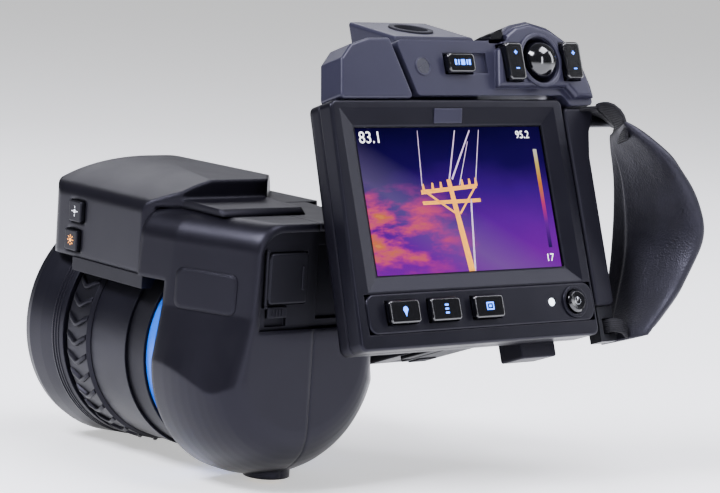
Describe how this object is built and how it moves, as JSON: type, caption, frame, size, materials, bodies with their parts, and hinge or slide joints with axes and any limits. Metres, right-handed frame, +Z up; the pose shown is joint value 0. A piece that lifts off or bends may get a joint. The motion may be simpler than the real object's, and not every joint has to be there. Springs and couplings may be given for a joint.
{
  "type": "thermal imaging camera",
  "caption": "Hand-held thermal imaging camera: round infrared lens block with a tilting screen, keys, joystick and strapped grip.",
  "frame": {"origin": "mouth of the tripod socket under the lens housing", "axes": "+X to the user's right, +Y the way the lens looks, +Z up; -Z out of the tripod socket"},
  "size_m": [0.2068, 0.1739, 0.1794],
  "materials": {
    "shell": "soft-touch matte",
    "shell_light": "soft satin",
    "bezel": "fine matte",
    "dark_trim": "matte",
    "lens_body": "satin",
    "ribbed_rubber": "matte ribbed",
    "grip_rubber": "matte",
    "button_rubber": "matte",
    "gloss_black": "gloss",
    "blue_ring": "satin",
    "black_anodised": "anodised",
    "germanium": "coated",
    "window": "gloss",
    "glass": "gloss",
    "lcd": "lit",
    "lamp": "lit",
    "board": "satin",
    "battery": "matte",
    "eyecup": "matte",
    "metal": "machined",
    "steel": "brushed",
    "chrome": "polished",
    "brass": "turned",
    "leather": "grained"
  },
  "bodies": {
    "optical_block": {"chassis": "metal", "left_cover": "shell", "right_cover": "shell", "top_housing": "shell", "skirt_trim": "dark_trim", "rear_panel": "dark_trim", "front_window": "window", "visual_camera": "black_anodised", "lamp_modules": "chrome", "laser_module": "brass", "mount_ring": "blue_ring", "lens_barrel": "lens_body", "lens_lock_ring": "dark_trim", "front_hood": "lens_body", "front_element": "germanium", "detector_module": "metal", "block_boards": "board", "tripod_bush": "brass", "tilt_shaft": "steel", "tilt_seat": "metal", "flange_screws": "steel"},
    "focus_ring": {"focus_ring": "ribbed_rubber"},
    "focus_cell": {"focus_cell": "metal", "focus_element": "germanium"},
    "laser_button": {"laser_button": "button_rubber"},
    "lamp_button": {"lamp_button": "button_rubber"},
    "port_door": {"port_door": "dark_trim"},
    "door_latch": {"door_latch": "dark_trim"},
    "display_unit": {"bezel_frame": "bezel", "screen_glass": "glass", "lcd_panel": "lcd", "button_panel": "gloss_black", "panel_lights": "lamp", "rear_tray": "shell", "unit_boards": "board", "shoulder_cover": "shell_light", "control_plate": "shell_light", "viewfinder_base": "shell", "arm_housing": "shell", "battery": "battery", "battery_cover": "dark_trim", "grip_column": "grip_rubber", "hand_grip": "grip_rubber", "rest_foot": "grip_rubber", "strap_fittings": "steel", "strap_pad": "leather"},
    "viewfinder": {"viewfinder_body": "shell_light", "eyecup": "eyecup", "eyepiece_lens": "glass"},
    "key_left": {"key_left": "gloss_black"},
    "key_middle": {"key_middle": "gloss_black"},
    "key_right": {"key_right": "gloss_black"},
    "power_key": {"power_key": "gloss_black"},
    "auto_key": {"auto_key": "gloss_black"},
    "left_pill": {"left_pill": "gloss_black"},
    "right_pill": {"right_pill": "gloss_black"},
    "top_key": {"top_key": "gloss_black"},
    "save_trigger": {"save_trigger": "gloss_black"},
    "joystick_cap": {"joystick_cap": "button_rubber"},
    "joystick_gimbal": {"joystick_gimbal": "metal"}
  },
  "joints": [
    {"name": "display_tilt", "type": "hinge", "parent": "optical_block", "child": "display_unit", "pos_m": [0.052, 0.022, 0.069], "axis": [-1, 0, 0], "range_deg": [-35, 75]},
    {"name": "focus_turn", "type": "hinge", "parent": "optical_block", "child": "focus_ring", "pos_m": [0, 0.07, 0.045], "axis": [0, 1, 0], "range_deg": [-60, 60]},
    {"name": "focus_travel", "type": "slide", "parent": "optical_block", "child": "focus_cell", "axis": [0, 1, 0], "range_m": [-0.0031, 0.0031]},
    {"name": "laser_press", "type": "slide", "parent": "optical_block", "child": "laser_button", "axis": [1, 0, 0], "range_m": [0, 0.001], "stiffness_N_per_m": 600, "springref_m": -0.00083},
    {"name": "lamp_press", "type": "slide", "parent": "optical_block", "child": "lamp_button", "axis": [1, 0, 0], "range_m": [0, 0.001], "stiffness_N_per_m": 600, "springref_m": -0.00083},
    {"name": "door_swing", "type": "hinge", "parent": "optical_block", "child": "port_door", "pos_m": [-0.0229, -0.0229, 0.0805], "axis": [0, 0, -1], "range_deg": [0, 110]},
    {"name": "latch_slide", "type": "slide", "parent": "optical_block", "child": "door_latch", "axis": [0, 0, -1], "range_m": [0, 0.0025], "stiffness_N_per_m": 300, "springref_m": -0.001},
    {"name": "left_key_press", "type": "slide", "parent": "display_unit", "child": "key_left", "axis": [0, 0.9397, -0.342], "range_m": [0, 0.001], "stiffness_N_per_m": 600, "springref_m": -0.00083},
    {"name": "middle_key_press", "type": "slide", "parent": "display_unit", "child": "key_middle", "axis": [0, 0.9397, -0.342], "range_m": [0, 0.001], "stiffness_N_per_m": 600, "springref_m": -0.00083},
    {"name": "right_key_press", "type": "slide", "parent": "display_unit", "child": "key_right", "axis": [0, 0.9397, -0.342], "range_m": [0, 0.001], "stiffness_N_per_m": 600, "springref_m": -0.00083},
    {"name": "power_press", "type": "slide", "parent": "display_unit", "child": "power_key", "axis": [0, 0.9397, -0.342], "range_m": [0, 0.001], "stiffness_N_per_m": 600, "springref_m": -0.00083},
    {"name": "auto_press", "type": "slide", "parent": "display_unit", "child": "auto_key", "axis": [0, 0.9397, -0.342], "range_m": [0, 0.001], "stiffness_N_per_m": 600, "springref_m": -0.00083},
    {"name": "left_pill_press", "type": "slide", "parent": "display_unit", "child": "left_pill", "axis": [0, 0.9397, -0.342], "range_m": [0, 0.001], "stiffness_N_per_m": 600, "springref_m": -0.00083},
    {"name": "right_pill_press", "type": "slide", "parent": "display_unit", "child": "right_pill", "axis": [0, 0.9397, -0.342], "range_m": [0, 0.001], "stiffness_N_per_m": 600, "springref_m": -0.00083},
    {"name": "top_key_press", "type": "slide", "parent": "display_unit", "child": "top_key", "axis": [0, -0.342, -0.9397], "range_m": [0, 0.001], "stiffness_N_per_m": 600, "springref_m": -0.00083},
    {"name": "trigger_press", "type": "slide", "parent": "display_unit", "child": "save_trigger", "axis": [0, -0.9397, 0.342], "range_m": [0, 0.002], "stiffness_N_per_m": 600, "springref_m": -0.00167},
    {"name": "stick_sideways", "type": "hinge", "parent": "display_unit", "child": "joystick_gimbal", "pos_m": [0.1036, -0.01596, 0.15944], "axis": [0, 0.342, 0.9397], "range_deg": [-6, 6], "stiffness_Nm_per_rad": 0.08},
    {"name": "stick_up_down", "type": "hinge", "parent": "joystick_gimbal", "child": "joystick_cap", "pos_m": [0.1036, -0.01596, 0.15944], "axis": [1, 0, 0], "range_deg": [-6, 6], "stiffness_Nm_per_rad": 0.08},
    {"name": "viewfinder_lift", "type": "hinge", "parent": "display_unit", "child": "viewfinder", "pos_m": [0.0635, 0.01736, 0.15625], "axis": [-1, 0, 0], "range_deg": [0, 35]}
  ],
  "couplings": [
    {"joint": "focus_travel", "follows": "focus_turn", "m_per_rad": 0.0028648}
  ]
}
